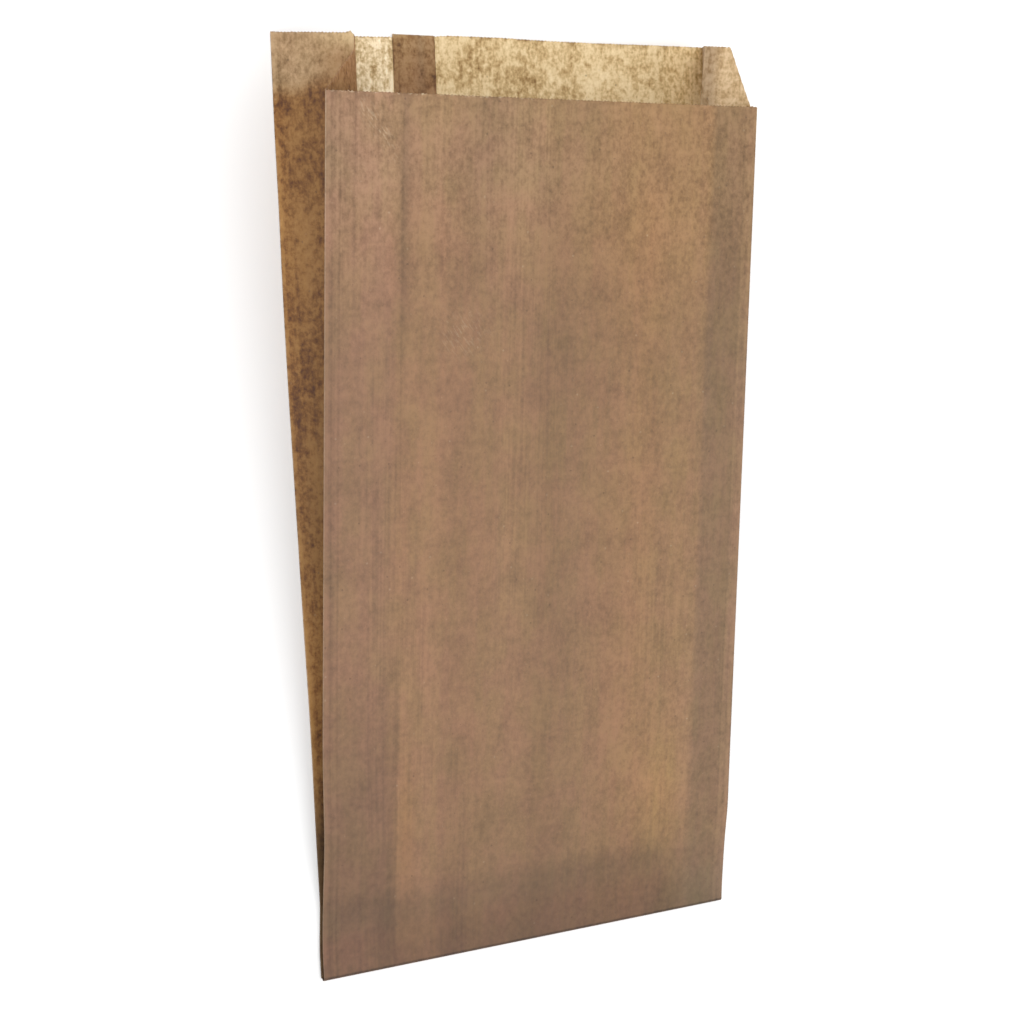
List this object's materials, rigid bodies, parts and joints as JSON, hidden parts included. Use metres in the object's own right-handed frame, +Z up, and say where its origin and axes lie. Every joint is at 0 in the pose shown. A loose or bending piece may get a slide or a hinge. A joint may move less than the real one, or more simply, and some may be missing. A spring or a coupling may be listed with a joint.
{
  "type": "paper fruit bag",
  "caption": "Empty flat brown paper bag with side gussets, lying on its back with its mouth gaping and its back panel standing past the front as a lip.",
  "frame": {"origin": "under the middle of the bag's bounding box, on the surface that it lies on", "axes": "+X across the bag to the right as its front is looked at, +Y from the bottom fold to the mouth, +Z up out of the back panel it lies on"},
  "size_m": [0.1806, 0.3524, 0.0505],
  "materials": {
    "kraft_paper": "thin ribbed machine-glazed brown kraft paper, slightly translucent"
  },
  "bodies": {
    "root": {"paper_bag": "kraft_paper"}
  },
  "joints": []
}
